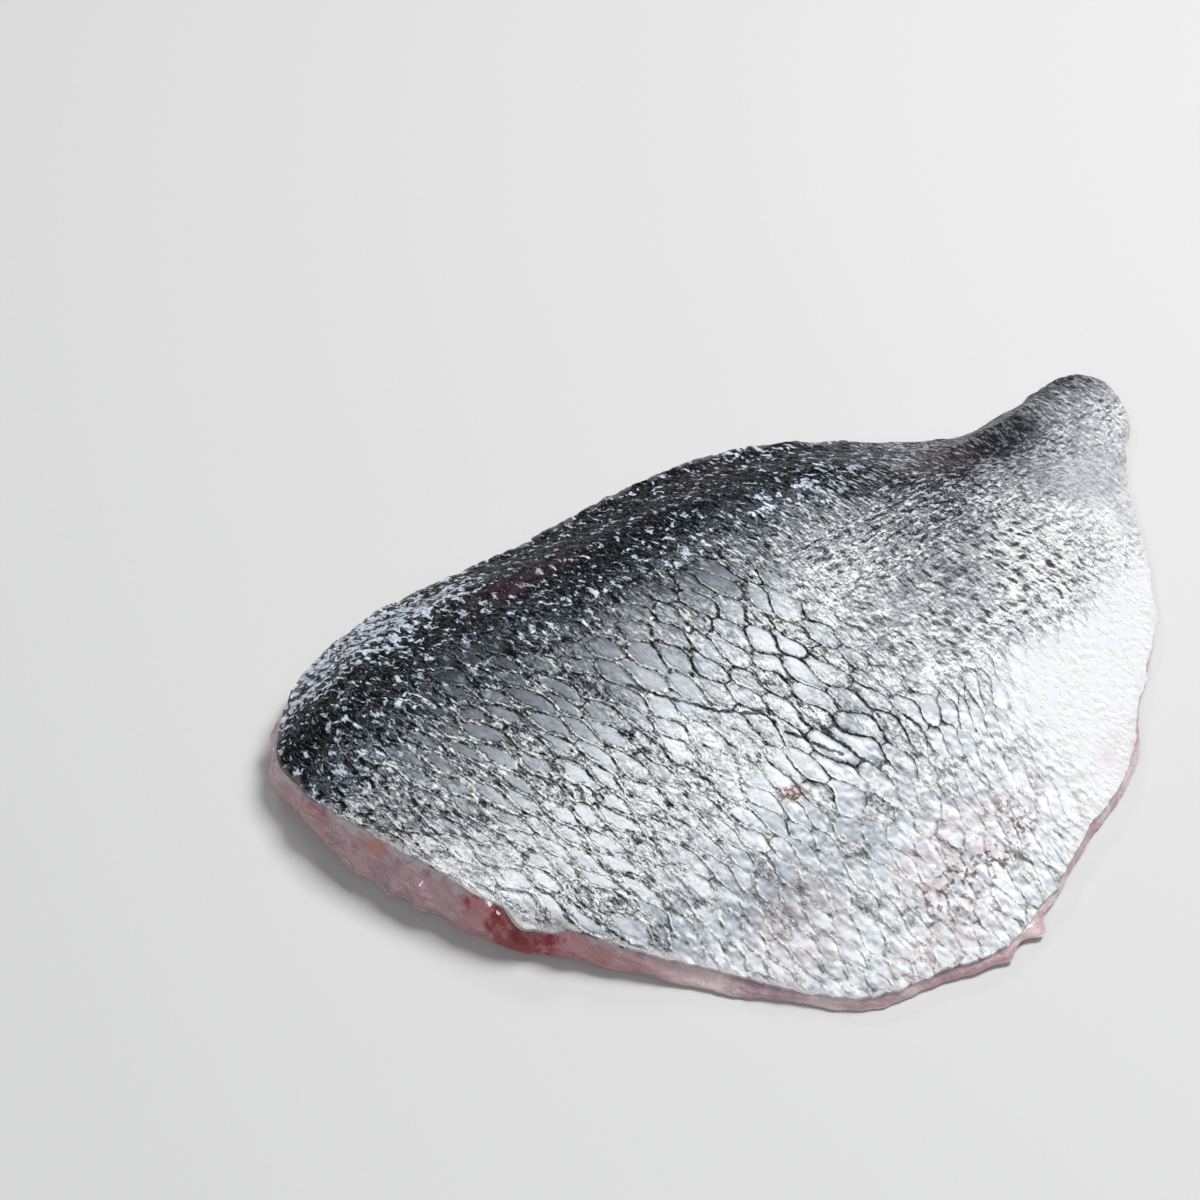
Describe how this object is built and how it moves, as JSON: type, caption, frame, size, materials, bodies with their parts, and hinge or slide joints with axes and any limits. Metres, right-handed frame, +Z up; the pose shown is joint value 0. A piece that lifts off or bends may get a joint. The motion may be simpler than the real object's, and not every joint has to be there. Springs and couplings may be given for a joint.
{
  "type": "raw barramundi fillet",
  "caption": "Raw skin-on barramundi fillet lying skin side up, with a net of scale pockets on the skin and pink flesh at its cut edges.",
  "frame": {"origin": "middle of the fillet's footprint, on the surface it lies on", "axes": "+X from the head cut to the tail, +Y from the belly edge to the back edge, +Z up out of the skin"},
  "size_m": [0.2538, 0.1572, 0.0235],
  "materials": {
    "flesh": "moist raw fish flesh, pale pink and slightly see-through, wet gloss",
    "skin": "wet scaled fish skin, charcoal along the back and silver to white at the belly, with dark scale pocket outlines"
  },
  "bodies": {
    "root": {"flesh": "flesh", "skin": "skin"}
  },
  "joints": []
}
